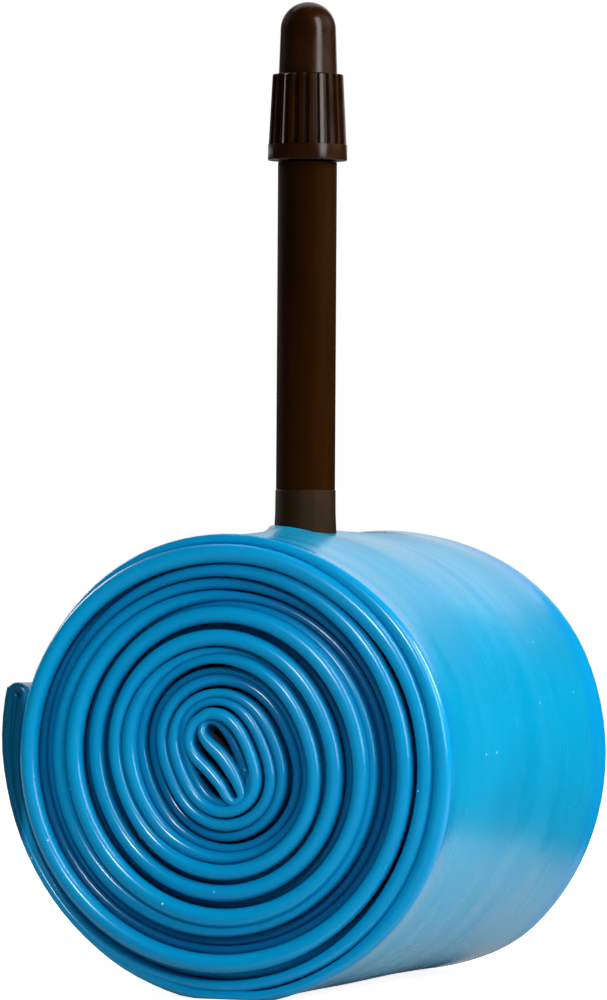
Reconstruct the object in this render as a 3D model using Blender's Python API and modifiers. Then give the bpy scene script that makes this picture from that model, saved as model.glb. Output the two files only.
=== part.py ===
"""A rolled-up bicycle inner tube with its valve, as separate pieces at real size.

The tube is a flat, hollow loop of thin plastic film. It is pressed flat, laid double and rolled up from the
end opposite the valve, so that the valve stands on the outermost wrap. The roll lies along Y and the valve
stands up along Z. The origin is on the flat that the roll rests on, under the valve.
"""

import math

import bmesh
import bpy
from mathutils import Vector

MM = 0.001

# Tube film, pressed flat
FLAT_WIDTH = 49.0 * MM
FILM_WALL = 0.35 * MM
AIR_SLIT = 0.20 * MM
LAYER_GAP = 0.13 * MM

# Roll: the doubled tube starts as a straight hairpin and is wound clockwise, seen from the front
WINDS = 9
AXIS_ANGLE = 114.0
TAB_ANGLE = 164.0
WIND_STEP = 18.0
CORE_HALF_LENGTH = 3.30 * MM
CORE_HALF_WIDTH = 0.45 * MM
CORE_RADIUS = 1.06 * MM
ROUNDING_OUT = 2.50 * MM
HAIRPIN_LENGTH = 2.90 * MM
HAIRPIN_LEAN = 14.0
HAIRPIN_BULB = 0.15 * MM
CORE_SLIT = 0.45 * MM
LOOSE_TAB = 0.80 * MM
LOOSE_TAB_SWEEP = 120.0
TAB_RECESS = 2.50 * MM
STRAND_RECESS = 1.00 * MM
ROLL_DRIFT = 0.60 * MM
REST_FLAT = 11.0 * MM

# Socket that is welded to the film, and the collar of film drawn up round it
SOCKET_HEIGHT = 4.00 * MM
SOCKET_TOP_DIAMETER = 6.10 * MM
SOCKET_FOOT_DIAMETER = 6.35 * MM
SOCKET_BORE = 4.60 * MM
COLLAR_HEIGHT = 0.80 * MM
COLLAR_LIP = 0.35 * MM
COLLAR_SKIRT = 1.60 * MM
COLLAR_EDGE = 0.25 * MM
COLLAR_TILT = 6.0

# Valve stem
STEM_DIAMETER = 5.95 * MM
STEM_LENGTH = 32.90 * MM
STEM_BORE = 3.00 * MM
STEM_EDGE = 0.30 * MM

# Threaded metal tip in the top of the stem
TIP_DIAMETER = 5.20 * MM
TIP_HEIGHT = 7.00 * MM
TIP_CHAMFER = 0.30 * MM
TIP_SHANK_DIAMETER = 4.50 * MM
TIP_SHANK_LENGTH = 9.50 * MM
TIP_GROOVE_COUNT = 2
TIP_GROOVE_WIDTH = 0.90 * MM
TIP_GROOVE_DEPTH = 0.20 * MM

# Valve core, screwed into the tip
CORE_HEAD_DIAMETER = 4.20 * MM
CORE_HEAD_HEIGHT = 1.70 * MM
CORE_HEAD_FLATS = 3.60 * MM
CORE_CROWN_DIAMETER = 3.00 * MM
CORE_CROWN_HEIGHT = 0.60 * MM
CORE_THREAD_DIAMETER = 3.90 * MM
CORE_THREAD_LENGTH = 3.60 * MM
CORE_NOSE_DIAMETER = 2.70 * MM
CORE_NOSE_LENGTH = 4.60 * MM
GASKET_HEIGHT = 0.80 * MM

# Valve pin with its seal, and the lock nut on it
PIN_DIAMETER = 1.50 * MM
PIN_TIP = 2.60 * MM
PIN_CHAMFER = 0.25 * MM
PIN_HEAD_DIAMETER = 2.30 * MM
PIN_HEAD_HEIGHT = 0.80 * MM
SEAL_DIAMETER = 2.50 * MM
SEAL_HEIGHT = 1.10 * MM
NUT_DIAMETER = 3.90 * MM
NUT_HEIGHT = 2.80 * MM
NUT_CHAMFER = 0.35 * MM
NUT_GROOVE_COUNT = 12
NUT_GROOVE_WIDTH = 0.40 * MM
NUT_GROOVE_DEPTH = 0.18 * MM

# Dust cap
CAP_DOME_DIAMETER = 5.85 * MM
CAP_DOME_TAPER = 0.30 * MM
CAP_DOME_WALL = 0.62 * MM
CAP_CROWN_WALL = 0.80 * MM
CAP_SKIRT_HEIGHT = 8.70 * MM
CAP_SKIRT_TOP_DIAMETER = 7.10 * MM
CAP_SKIRT_FOOT_DIAMETER = 7.80 * MM
CAP_BAND_DIAMETER = 8.00 * MM
CAP_BAND_HEIGHT = 1.60 * MM
CAP_RIB_COUNT = 22
CAP_GROOVE_WIDTH = 0.50 * MM
CAP_GROOVE_DEPTH = 0.36 * MM

# Clearances, and how far a cutter reaches past what it cuts
SEAT_GAP = 0.25 * MM
FIT_GAP = 0.13 * MM
RUN_GAP = 0.10 * MM
CUT_OVER = 1.00 * MM

# Facets of round pieces
TURN_STEPS = 24
DOME_STEPS = 5
FOLD_STEPS = 3
BEND_POINTS = 3
MERGE_DISTANCE = 0.01 * MM
SHARP_ANGLE = 35.0

# Sizes of the roll that follow from the ones above
STRAND = 2 * FILM_WALL + AIR_SLIT
STRAND_PITCH = STRAND + LAYER_GAP
PAIR_PITCH = 2 * STRAND_PITCH + ROUNDING_OUT / WINDS
START_ANGLE = AXIS_ANGLE + 90.0
FULL_TURN = 360.0
END_TURN = FULL_TURN * WINDS + START_ANGLE - TAB_ANGLE
VALVE_TURN = FULL_TURN * (WINDS - 1) + START_ANGLE - 90.0
REST_TURN = VALVE_TURN + 180.0


def direction(angle):
    """Unit vector at this angle in degrees, in the plane of the roll."""
    return Vector((math.cos(math.radians(angle)), math.sin(math.radians(angle))))


def normal_at(turn):
    """Outward direction of the wound pair after this many degrees of winding."""
    return direction(START_ANGLE - turn)


def looseness(turn):
    """How far the last wrap has come loose: 0 on the tight roll, rising to 1 at the tab."""
    return max(0.0, 1 - (END_TURN - turn) / LOOSE_TAB_SWEEP) ** 2


def wound_point(turn):
    """Middle of the wound pair: the outline of a slim core, grown by one pair's thickness in each wind."""
    wind = turn / FULL_TURN
    length = CORE_HALF_LENGTH - ROUNDING_OUT * wind / WINDS
    angle = math.radians(START_ANGLE - turn - AXIS_ANGLE)
    reach = math.hypot(length * math.cos(angle), CORE_HALF_WIDTH * math.sin(angle))
    slope = (CORE_HALF_WIDTH**2 - length**2) * math.sin(angle) * math.cos(angle) / reach
    outward = normal_at(turn)
    along = Vector((-outward.y, outward.x))
    radius = CORE_RADIUS + PAIR_PITCH * wind
    drift = Vector((ROLL_DRIFT * wind / WINDS, 0.0))
    return outward * (radius + reach + LOOSE_TAB * looseness(turn)) + along * slope + drift


def round_point(turn, side):
    """Middle of one strand before it settles: side is 1 for the pair's outer strand and -1 for its inner."""
    spread = STRAND_PITCH / 2 + HAIRPIN_BULB * looseness(turn)
    if side < 0 and turn < 180.0:
        spread += CORE_SLIT * math.sin(math.radians(turn)) ** 2
    return wound_point(turn) + normal_at(turn) * side * spread


def strand_point(turn, side):
    """Middle of one strand, with the loose last wrap hanging flat where the roll rests."""
    point = round_point(turn, side)
    if abs(turn - REST_TURN) > 90.0:
        return point
    lowest = round_point(REST_TURN, side)
    half = REST_FLAT / 2
    aside = abs(point.x - lowest.x)
    if aside < half:
        return Vector((lowest.x + math.copysign(half, point.x - lowest.x), lowest.y))
    corner_drop = half**2 / (2 * abs(lowest.y))
    point.y -= corner_drop * max(0.0, 1 - (aside - half) / REST_FLAT)
    return point


def strand_recess(turn, side):
    """How far a strand's edge lies behind the front: inner strands sit back, and so does the loose tab."""
    inner_share = (1 - side) / 2 * min(1.0, turn / 180.0)
    return STRAND_RECESS * inner_share + TAB_RECESS * looseness(turn)


def winding_turns():
    """Winding angles of the path's points, on the same spokes in every wind, with a level facet on top."""
    turns = [0.0]
    turn = (START_ANGLE - 90.0 - WIND_STEP / 2) % WIND_STEP
    while turn < END_TURN - WIND_STEP / 3:
        if turn > WIND_STEP / 3:
            turns.append(turn)
        turn += WIND_STEP
    return turns + [END_TURN]


def half_circle(start, end, ahead):
    """Points of a hairpin's bend between two strand ends, without those ends."""
    centre = (start + end) / 2
    across = (end - start) / 2
    bend = []
    for step in range(1, BEND_POINTS + 1):
        angle = math.pi * step / (BEND_POINTS + 1)
        bend.append(centre - across * math.cos(angle) + ahead * across.length * math.sin(angle))
    return bend


def loop_path():
    """The closed path of the flattened tube, out along the inner strand and back along the outer one.

    Each entry is a strand's middle in the plane of the roll and how far its edge lies back.
    """
    turns = winding_turns()
    inner = [(strand_point(turn, -1), strand_recess(turn, -1)) for turn in turns]
    outer = [(strand_point(turn, 1), strand_recess(turn, 1)) for turn in turns]
    forward = direction(AXIS_ANGLE + HAIRPIN_LEAN)
    hairpin = wound_point(0.0) - forward * HAIRPIN_LENGTH
    aside = Vector((-forward.y, forward.x)) * (STRAND_PITCH / 2 + HAIRPIN_BULB)
    core_bend = [(point, 0.0) for point in half_circle(hairpin + aside, hairpin - aside, -forward)]
    tab_out = normal_at(END_TURN)
    tab_recess = (inner[-1][1] + outer[-1][1]) / 2
    tab_points = half_circle(inner[-1][0], outer[-1][0], Vector((tab_out.y, -tab_out.x)))
    tab_bend = [(point, tab_recess) for point in tab_points]
    return [(hairpin - aside, 0.0)] + inner + tab_bend + outer[::-1] + [(hairpin + aside, 0.0)] + core_bend


VALVE_FACET = [strand_point(VALVE_TURN + turn, 1) for turn in (-WIND_STEP / 2, WIND_STEP / 2)]
VALVE_SEAT = (VALVE_FACET[0] + VALVE_FACET[1]) / 2
ROLL_SHIFT = Vector((-VALVE_SEAT.x, STRAND / 2 - strand_point(REST_TURN, 1).y))
FILM_TOP = VALVE_SEAT.y + ROLL_SHIFT.y + STRAND / 2

# Heights along the valve, from the film up
SOCKET_FOOT = FILM_TOP + SEAT_GAP
SOCKET_TOP = SOCKET_FOOT + SOCKET_HEIGHT
STEM_SHOULDER = SOCKET_TOP + FIT_GAP
STEM_TOP = STEM_SHOULDER + STEM_LENGTH
TIP_FLANGE = STEM_TOP + FIT_GAP
TIP_TOP = TIP_FLANGE + TIP_HEIGHT
TIP_FOOT = TIP_FLANGE - TIP_SHANK_LENGTH
CORE_HEAD = TIP_TOP + FIT_GAP
CORE_SHOULDER = CORE_HEAD + CORE_HEAD_HEIGHT
CORE_TOP = CORE_SHOULDER + CORE_CROWN_HEIGHT
CORE_THREAD_FOOT = CORE_HEAD - CORE_THREAD_LENGTH
GASKET_TOP = CORE_THREAD_FOOT - FIT_GAP
GASKET_FOOT = GASKET_TOP - GASKET_HEIGHT
GASKET_SEAT = GASKET_FOOT - FIT_GAP
CORE_FOOT = GASKET_SEAT - CORE_NOSE_LENGTH
SEAL_TOP = CORE_FOOT - FIT_GAP
SEAL_FOOT = SEAL_TOP - SEAL_HEIGHT
PIN_HEAD_TOP = SEAL_FOOT - FIT_GAP
PIN_FOOT = PIN_HEAD_TOP - PIN_HEAD_HEIGHT
NUT_FOOT = CORE_TOP + FIT_GAP
NUT_TOP = NUT_FOOT + NUT_HEIGHT
PIN_TOP = NUT_TOP + PIN_TIP
CAP_FOOT = STEM_TOP + FIT_GAP
CAP_BAND_TOP = CAP_FOOT + CAP_BAND_HEIGHT
CAP_SKIRT_TOP = CAP_FOOT + CAP_SKIRT_HEIGHT
CAP_CEILING = PIN_TOP + SEAT_GAP
CAP_TOP = CAP_CEILING + CAP_CROWN_WALL

# Radii of the bores, each from what it takes
SHANK_BORE = TIP_SHANK_DIAMETER / 2 + FIT_GAP
THREAD_BORE = CORE_THREAD_DIAMETER / 2 + FIT_GAP
NOSE_BORE = max(CORE_NOSE_DIAMETER, SEAL_DIAMETER) / 2 + FIT_GAP
PIN_BORE = PIN_DIAMETER / 2 + RUN_GAP
CAP_SKIRT_BORE = TIP_DIAMETER / 2 + FIT_GAP
CAP_DOME_BORE = CAP_DOME_DIAMETER / 2 - CAP_DOME_WALL
COLLAR_BORE = SOCKET_FOOT_DIAMETER / 2 + SEAT_GAP


def linear(channel):
    """One sRGB channel from 0 to 255 as the linear value that shaders take."""
    value = channel / 255
    return value / 12.92 if value <= 0.04045 else ((value + 0.055) / 1.055) ** 2.4


def plain_material(name, colour, roughness, metallic=0.0):
    """Principled material from a hex colour."""
    material = bpy.data.materials.new(name)
    material.use_nodes = True
    shader = material.node_tree.nodes["Principled BSDF"]
    red, green, blue = bytes.fromhex(colour)
    shader.inputs["Base Color"].default_value = (linear(red), linear(green), linear(blue), 1.0)
    shader.inputs["Roughness"].default_value = roughness
    shader.inputs["Metallic"].default_value = metallic
    return material


def new_collection(name):
    """Collection under the scene's own one."""
    collection = bpy.data.collections.new(name)
    bpy.context.scene.collection.children.link(collection)
    return collection


def new_object(name, data, collection, material=None):
    """Object of a mesh or curve, in a collection, with its material."""
    item = bpy.data.objects.new(name, data)
    collection.objects.link(item)
    if material:
        data.materials.append(material)
    return item


def turned(name, seat, profile, collection, material, steps=TURN_STEPS):
    """Turned piece: a profile of (radius, height) corners, top to bottom down its outside, spun round Z."""
    mesh = bpy.data.meshes.new(name)
    closed = profile[0][0] > 0
    corners = len(profile)
    edges = [(i, (i + 1) % corners) for i in range(corners if closed else corners - 1)]
    mesh.from_pydata([(radius, 0.0, height - seat) for radius, height in profile], edges, [])
    item = new_object(name, mesh, collection, material)
    item.location.z = seat
    screw = item.modifiers.new("Turn", "SCREW")
    screw.axis = "Z"
    screw.steps = steps
    screw.render_steps = steps
    screw.use_merge_vertices = True
    screw.merge_threshold = MERGE_DISTANCE
    screw.use_smooth_shade = True
    return item


def cut(item, cutter):
    """Take a cutter away from a piece."""
    boolean = item.modifiers.new("Cut by " + cutter.name, "BOOLEAN")
    boolean.operation = "DIFFERENCE"
    boolean.solver = "EXACT"
    boolean.object = cutter


def as_cutter(item):
    """Show an object as a guide only."""
    item.hide_render = True
    item.display_type = "WIRE"
    return item


def box_ring(name, count, size, radius, height, lean, collection, first_angle=0.0):
    """Cutter of equal boxes round the valve's axis: size is radial, around and tall, and lean tips them."""
    mesh = bpy.data.meshes.new(name)
    build = bmesh.new()
    for step in range(count):
        made = bmesh.ops.create_cube(build, size=1.0)["verts"]
        bmesh.ops.scale(build, verts=made, vec=Vector(size))
        for vert in made:
            vert.co.x += radius - lean * vert.co.z
        spoke = first_angle + 2 * math.pi * step / count
        for vert in made:
            x, y, z = vert.co
            vert.co.x = x * math.cos(spoke) - y * math.sin(spoke)
            vert.co.y = x * math.sin(spoke) + y * math.cos(spoke)
            vert.co.z = z + height
    build.to_mesh(mesh)
    build.free()
    return as_cutter(new_object(name, mesh, collection))


def curve_as_mesh(curve_object, name, collection):
    """Mesh object in place of a curve object, with its loose caps welded."""
    bpy.context.view_layer.update()
    evaluated = curve_object.evaluated_get(bpy.context.evaluated_depsgraph_get())
    mesh = bpy.data.meshes.new_from_object(evaluated)
    mesh.name = name
    build = bmesh.new()
    build.from_mesh(mesh)
    bmesh.ops.remove_doubles(build, verts=build.verts, dist=MERGE_DISTANCE)
    bmesh.ops.recalc_face_normals(build, faces=build.faces)
    build.to_mesh(mesh)
    build.free()
    item = new_object(name, mesh, collection)
    item.matrix_world = curve_object.matrix_world
    bpy.data.objects.remove(curve_object)
    return item


def closed_spline(curve, points):
    """Closed polygon in a curve's own plane."""
    spline = curve.splines.new("POLY")
    spline.points.add(len(points) - 1)
    for place, point in zip(spline.points, points):
        place.co = (point[0], point[1], 0.0, 1.0)
    spline.use_cyclic_u = True


def flat_tube_section():
    """Section of the flattened tube: its outline with folded round edges, and the air slit inside it."""
    straight = FLAT_WIDTH / 2 - STRAND / 2
    outline = []
    for end in (1, -1):
        for step in range(FOLD_STEPS + 1):
            angle = math.pi * step / FOLD_STEPS
            across = end * STRAND / 2 * math.cos(angle)
            along = end * (straight + STRAND / 2 * math.sin(angle))
            outline.append((across, along))
    half_slit = AIR_SLIT / 2
    reach = FLAT_WIDTH / 2 - FILM_WALL - half_slit
    slit = [(half_slit, -reach), (-half_slit, -reach), (-half_slit, reach), (half_slit, reach)]
    return outline, slit


def section_ring(build, outline, before, here, after):
    """Corners of a section at one point of the path, square to the bend and set back with its strand."""
    arriving = (here[0] - before[0]).normalized()
    leaving = (after[0] - here[0]).normalized()
    ahead = (arriving + leaving).normalized()
    outward = Vector((-ahead.y, ahead.x)) / ahead.dot(leaving)
    ring = []
    for across, along in outline:
        place = here[0] + outward * across + ROLL_SHIFT
        ring.append(build.verts.new((place.x, along + here[1], place.y)))
    return ring


def make_tube_film(parts, cutters, material):
    """Flattened tube lofted along its wound loop, with the valve hole cut through its top layer."""
    mesh = bpy.data.meshes.new("tube_film")
    build = bmesh.new()
    path = loop_path()
    for outline in flat_tube_section():
        rings = []
        for place, here in enumerate(path):
            after = path[(place + 1) % len(path)]
            rings.append(section_ring(build, outline, path[place - 1], here, after))
        for place, ring in enumerate(rings):
            behind = rings[place - 1]
            for corner in range(len(ring)):
                build.faces.new((behind[corner - 1], behind[corner], ring[corner], ring[corner - 1]))
    build.to_mesh(mesh)
    build.free()
    mesh.shade_smooth()
    mesh.set_sharp_from_angle(angle=math.radians(SHARP_ANGLE))
    film = new_object("tube_film", mesh, parts, material)
    hole_depth = FILM_WALL + AIR_SLIT / 2
    bpy.ops.mesh.primitive_cylinder_add(
        vertices=TURN_STEPS,
        radius=STEM_BORE / 2,
        depth=hole_depth + CUT_OVER,
        location=(0.0, 0.0, FILM_TOP - hole_depth + (hole_depth + CUT_OVER) / 2),
    )
    hole = bpy.context.active_object
    hole.name = "valve_hole"
    for collection in list(hole.users_collection):
        collection.objects.unlink(hole)
    cutters.objects.link(hole)
    cut(film, as_cutter(hole))


def make_socket(parts, material):
    """Soft sleeve that stands on the film and takes the plug of the stem."""
    top = SOCKET_TOP_DIAMETER / 2
    foot = SOCKET_FOOT_DIAMETER / 2
    bore = SOCKET_BORE / 2
    profile = [(bore, SOCKET_TOP), (top, SOCKET_TOP), (foot, SOCKET_FOOT), (bore, SOCKET_FOOT)]
    turned("base_socket", SOCKET_FOOT, profile, parts, material)


def make_collar(parts, cutters, material):
    """Flared collar round the socket's foot, tilted a little, with its underside cut to the wound film."""
    lip = SOCKET_FOOT + COLLAR_HEIGHT
    foot = FILM_TOP - CUT_OVER
    rise = COLLAR_HEIGHT - COLLAR_EDGE
    profile = [(COLLAR_BORE, lip), (COLLAR_BORE + COLLAR_LIP, lip)]
    for step in range(1, DOME_STEPS):
        share = step / (DOME_STEPS - 1)
        radius = COLLAR_BORE + COLLAR_LIP + (COLLAR_SKIRT - COLLAR_LIP) * share
        profile.append((radius, lip - rise * math.sin(share * math.pi / 2)))
    profile += [(COLLAR_BORE + COLLAR_SKIRT, foot), (COLLAR_BORE, foot)]
    collar = turned("valve_collar", FILM_TOP, profile, parts, material)
    collar.rotation_euler.y = math.radians(COLLAR_TILT)
    film_line = [Vector((0.0, ROLL_SHIFT.y))]
    for turn in winding_turns():
        if abs(turn - VALVE_TURN) < 90.0:
            clear = (STRAND / 2 + SEAT_GAP) / math.cos(math.radians(WIND_STEP / 2))
            film_line.append(strand_point(turn, 1) + normal_at(turn) * clear + ROLL_SHIFT)
    outline = bpy.data.curves.new("film_under_collar", "CURVE")
    outline.dimensions = "2D"
    outline.fill_mode = "BOTH"
    outline.extrude = COLLAR_BORE + COLLAR_SKIRT + CUT_OVER
    closed_spline(outline, film_line)
    guide = new_object("film_under_collar", outline, cutters)
    guide.rotation_euler.x = math.radians(90.0)
    cut(collar, as_cutter(curve_as_mesh(guide, "film_under_collar", cutters)))


def make_stem(parts, material):
    """Smooth hollow stem: a plug below its shoulder, and a deeper bore at the top for the metal tip."""
    outside = STEM_DIAMETER / 2
    plug = SOCKET_BORE / 2 - FIT_GAP
    bore = STEM_BORE / 2
    pocket = TIP_FOOT - FIT_GAP
    profile = [
        (SHANK_BORE, STEM_TOP),
        (outside - STEM_EDGE, STEM_TOP),
        (outside, STEM_TOP - STEM_EDGE),
        (outside, STEM_SHOULDER),
        (plug, STEM_SHOULDER),
        (plug, SOCKET_FOOT),
        (bore, SOCKET_FOOT),
        (bore, pocket),
        (SHANK_BORE, pocket),
    ]
    turned("valve_stem", SOCKET_FOOT, profile, parts, material)


def make_tip(parts, material):
    """Metal tip: an outside thread's cylinder above a grooved shank, bored for the valve core."""
    outside = TIP_DIAMETER / 2
    shank = TIP_SHANK_DIAMETER / 2
    profile = [
        (THREAD_BORE, TIP_TOP),
        (outside - TIP_CHAMFER, TIP_TOP),
        (outside, TIP_TOP - TIP_CHAMFER),
        (outside, TIP_FLANGE),
        (shank, TIP_FLANGE),
    ]
    spacing = TIP_SHANK_LENGTH / (TIP_GROOVE_COUNT + 1)
    for groove in range(1, TIP_GROOVE_COUNT + 1):
        middle = TIP_FLANGE - spacing * groove
        for edge, inset in ((0.5, 0.0), (0.5, 1.0), (-0.5, 1.0), (-0.5, 0.0)):
            profile.append((shank - TIP_GROOVE_DEPTH * inset, middle + TIP_GROOVE_WIDTH * edge))
    profile += [
        (shank, TIP_FOOT),
        (NOSE_BORE, TIP_FOOT),
        (NOSE_BORE, GASKET_SEAT),
        (THREAD_BORE, GASKET_SEAT),
    ]
    turned("stem_tip", TIP_FLANGE, profile, parts, material)


def make_core(parts, cutters, material):
    """Valve core: a threaded barrel with a nose below and a head with two spanner flats above."""
    head = CORE_HEAD_DIAMETER / 2
    thread = CORE_THREAD_DIAMETER / 2
    nose = CORE_NOSE_DIAMETER / 2
    profile = [
        (PIN_BORE, CORE_TOP),
        (CORE_CROWN_DIAMETER / 2, CORE_TOP),
        (head, CORE_SHOULDER),
        (head, CORE_HEAD),
        (thread, CORE_HEAD),
        (thread, CORE_THREAD_FOOT),
        (nose, CORE_THREAD_FOOT),
        (nose, CORE_FOOT),
        (PIN_BORE, CORE_FOOT),
    ]
    core = turned("core_body", CORE_HEAD, profile, parts, material)
    tall = CORE_HEAD_HEIGHT + CORE_CROWN_HEIGHT + CUT_OVER
    size = (CUT_OVER, CORE_HEAD_DIAMETER, tall)
    radius = (CORE_HEAD_FLATS + CUT_OVER) / 2
    flats = box_ring("spanner_flats", 2, size, radius, CORE_HEAD + tall / 2, 0.0, cutters)
    cut(core, flats)


def make_gasket(parts, material):
    """Soft ring under the core's thread, on the ledge inside the tip."""
    inside = CORE_NOSE_DIAMETER / 2 + FIT_GAP
    outside = THREAD_BORE - FIT_GAP
    profile = [(inside, GASKET_TOP), (outside, GASKET_TOP), (outside, GASKET_FOOT), (inside, GASKET_FOOT)]
    turned("core_gasket", GASKET_FOOT, profile, parts, material)


def make_pin(parts, material):
    """Valve pin with the button at its foot that carries the seal."""
    shaft = PIN_DIAMETER / 2
    head = PIN_HEAD_DIAMETER / 2
    profile = [
        (0.0, PIN_TOP),
        (shaft - PIN_CHAMFER, PIN_TOP),
        (shaft, PIN_TOP - PIN_CHAMFER),
        (shaft, PIN_HEAD_TOP),
        (head, PIN_HEAD_TOP),
        (head, PIN_FOOT),
        (0.0, PIN_FOOT),
    ]
    turned("core_pin", PIN_HEAD_TOP, profile, parts, material)


def make_seal(parts, material):
    """Soft sleeve on the pin that closes the core's lower end."""
    inside = PIN_BORE
    outside = SEAL_DIAMETER / 2
    profile = [(inside, SEAL_TOP), (outside, SEAL_TOP), (outside, SEAL_FOOT), (inside, SEAL_FOOT)]
    turned("core_seal", SEAL_FOOT, profile, parts, material)


def make_nut(parts, cutters, material):
    """Small lock nut with grip grooves, screwed down on the core."""
    outside = NUT_DIAMETER / 2
    profile = [
        (PIN_BORE, NUT_TOP),
        (outside - NUT_CHAMFER, NUT_TOP),
        (outside, NUT_TOP - NUT_CHAMFER),
        (outside, NUT_FOOT + NUT_CHAMFER),
        (outside - NUT_CHAMFER, NUT_FOOT),
        (PIN_BORE, NUT_FOOT),
    ]
    nut = turned("core_nut", NUT_FOOT, profile, parts, material)
    size = (CUT_OVER, NUT_GROOVE_WIDTH, NUT_HEIGHT + CUT_OVER)
    radius = outside - NUT_GROOVE_DEPTH + CUT_OVER / 2
    middle = (NUT_FOOT + NUT_TOP) / 2
    cut(nut, box_ring("nut_grooves", NUT_GROOVE_COUNT, size, radius, middle, 0.0, cutters))


def make_cap(parts, cutters, material):
    """Dust cap: a domed, tapered crown on a flared skirt with grip ribs, and a plain band at its foot."""
    dome = (CAP_DOME_DIAMETER - CAP_DOME_TAPER) / 2
    inside = min(CAP_DOME_BORE, dome - CAP_DOME_WALL)
    profile = []
    for step in range(DOME_STEPS + 1):
        angle = math.pi / 2 * (1 - step / DOME_STEPS)
        profile.append((dome * math.cos(angle), CAP_TOP - dome + dome * math.sin(angle)))
    profile[0] = (0.0, CAP_TOP)
    profile += [
        (CAP_DOME_DIAMETER / 2, CAP_SKIRT_TOP),
        (CAP_SKIRT_TOP_DIAMETER / 2, CAP_SKIRT_TOP),
        (CAP_SKIRT_FOOT_DIAMETER / 2, CAP_BAND_TOP),
        (CAP_BAND_DIAMETER / 2, CAP_BAND_TOP),
        (CAP_BAND_DIAMETER / 2, CAP_FOOT),
        (CAP_SKIRT_BORE, CAP_FOOT),
        (CAP_SKIRT_BORE, TIP_TOP + FIT_GAP),
        (CAP_DOME_BORE, TIP_TOP + FIT_GAP),
    ]
    for step in range(DOME_STEPS + 1):
        angle = math.pi / 2 * step / DOME_STEPS
        profile.append((inside * math.cos(angle), CAP_CEILING - inside + inside * math.sin(angle)))
    profile[-1] = (0.0, CAP_CEILING)
    cap = turned("dust_cap", CAP_FOOT, profile, parts, material, 2 * CAP_RIB_COUNT)
    tall = CAP_SKIRT_TOP - CAP_BAND_TOP + CUT_OVER
    flare = (CAP_SKIRT_FOOT_DIAMETER - CAP_SKIRT_TOP_DIAMETER) / 2 / (CAP_SKIRT_TOP - CAP_BAND_TOP)
    middle = CAP_BAND_TOP + tall / 2
    skirt = CAP_SKIRT_FOOT_DIAMETER / 2 - flare * tall / 2
    size = (CUT_OVER, CAP_GROOVE_WIDTH, tall)
    radius = skirt - CAP_GROOVE_DEPTH + CUT_OVER / 2
    first = math.pi / CAP_RIB_COUNT / 2
    cut(cap, box_ring("cap_grooves", CAP_RIB_COUNT, size, radius, middle, flare, cutters, first))


for old in list(bpy.data.objects):
    bpy.data.objects.remove(old)
PARTS = new_collection("inner_tube")
CUTTERS = new_collection("inner_tube_cutters")
FILM = plain_material("TPU film, cyan", "0090CC", 0.32)
SLEEVE = plain_material("soft black sleeve", "2B2724", 0.60)
STEM = plain_material("black nylon", "1A1310", 0.42)
CAP = plain_material("moulded black cap", "16110E", 0.30)
BRASS = plain_material("turned brass", "B5914C", 0.30, 1.0)
NICKEL = plain_material("nickel plate", "B9B6AE", 0.25, 1.0)
RUBBER = plain_material("seal rubber", "141414", 0.70)
make_tube_film(PARTS, CUTTERS, FILM)
make_collar(PARTS, CUTTERS, FILM)
make_socket(PARTS, SLEEVE)
make_stem(PARTS, STEM)
make_tip(PARTS, NICKEL)
make_core(PARTS, CUTTERS, BRASS)
make_gasket(PARTS, RUBBER)
make_pin(PARTS, BRASS)
make_seal(PARTS, RUBBER)
make_nut(PARTS, CUTTERS, BRASS)
make_cap(PARTS, CUTTERS, CAP)
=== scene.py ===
"""Looks of a rolled-up bicycle inner tube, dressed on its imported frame, in metres with +Z up."""

import math

import bmesh
import bpy
import numpy as np
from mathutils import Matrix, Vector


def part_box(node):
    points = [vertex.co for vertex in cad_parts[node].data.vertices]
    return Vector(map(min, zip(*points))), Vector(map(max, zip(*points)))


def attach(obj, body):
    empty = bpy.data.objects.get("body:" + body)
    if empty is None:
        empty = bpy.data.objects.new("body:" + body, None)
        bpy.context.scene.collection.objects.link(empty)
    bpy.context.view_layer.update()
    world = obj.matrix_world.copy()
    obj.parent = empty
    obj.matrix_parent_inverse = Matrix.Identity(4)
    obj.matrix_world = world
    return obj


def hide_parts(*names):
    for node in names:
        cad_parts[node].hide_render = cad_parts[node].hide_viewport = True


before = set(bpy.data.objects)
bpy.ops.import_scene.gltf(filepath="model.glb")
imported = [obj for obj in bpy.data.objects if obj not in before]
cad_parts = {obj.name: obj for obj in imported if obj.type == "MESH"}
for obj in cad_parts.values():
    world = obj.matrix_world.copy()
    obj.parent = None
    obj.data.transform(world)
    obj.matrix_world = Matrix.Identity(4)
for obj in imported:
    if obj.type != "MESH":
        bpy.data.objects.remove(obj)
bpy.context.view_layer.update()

# Tube film
# The tube is a closed loop of thin polyurethane hose, blown, pressed flat and welded end to end. It is laid
# double and wound up from the end opposite the valve, so the folded edges of its two strands show as a
# spiral of soft round beads. Some strands stand proud at the front and the ones beside them lie deeper.
MM = 0.001
FLAT_WIDTH = 49.0 * MM
FLAT_HALF = 0.45 * MM
CORE_X = -0.25 * MM
CORE_Z = 23.45 * MM
AXIS_ANGLE = 114.0
START_ANGLE = AXIS_ANGLE + 90.0
TAB_ANGLE = 165.7
TURN = 360.0
SHORT_END = 8 * TURN + START_ANGLE - TAB_ANGLE
LONG_END = SHORT_END + TURN
TURN_STEP = 4.0

# The tight winding: parallel curves of a slim ellipse that rounds out and sinks a little with each turn
CORE_HALF_WIDTH = 0.45 * MM
CORE_HALF_LENGTH = 2.18 * MM
ROUNDING_OUT = 0.219 * MM
TIGHT_RADIUS = 2.19 * MM
TIGHT_PITCH = 2.373 * MM
STRAND_PITCH = TIGHT_PITCH / 2
TIGHT_SHIFT = np.array([-0.32 * MM, 0.16 * MM])
TIGHT_DRIFT = np.array([0.0, -0.063 * MM])
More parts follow.
